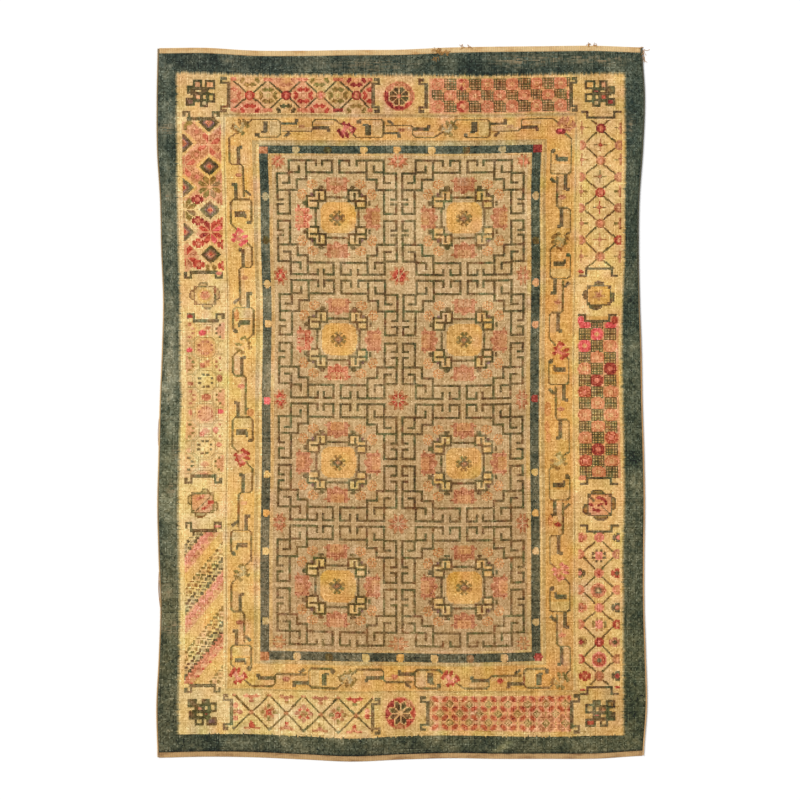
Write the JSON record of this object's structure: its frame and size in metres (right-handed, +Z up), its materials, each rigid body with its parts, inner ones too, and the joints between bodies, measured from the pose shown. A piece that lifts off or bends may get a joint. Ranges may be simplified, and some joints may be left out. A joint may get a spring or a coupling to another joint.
{
  "type": "knotted silk rug",
  "caption": "Flat rectangular knotted silk rug with ribbed tapes across its ends and thin overcast cords down its sides.",
  "frame": {"origin": "middle of the flat underside, on the surface the rug lies on", "axes": "+Y along the length towards the rug's top end, +X across the width to the right seen from above, +Z up out of the pile"},
  "size_m": [1.6132, 2.351, 0.007],
  "materials": {
    "silk_pile": "low silk pile with a soft sheen",
    "end_tape": "ribbed woven tape, matte",
    "side_cord": "overcast thread, matte"
  },
  "bodies": {
    "root": {"rug_body": "silk_pile", "bottom_end_tape": "end_tape", "top_end_tape": "end_tape", "left_side_cord": "side_cord", "right_side_cord": "side_cord"}
  },
  "joints": []
}
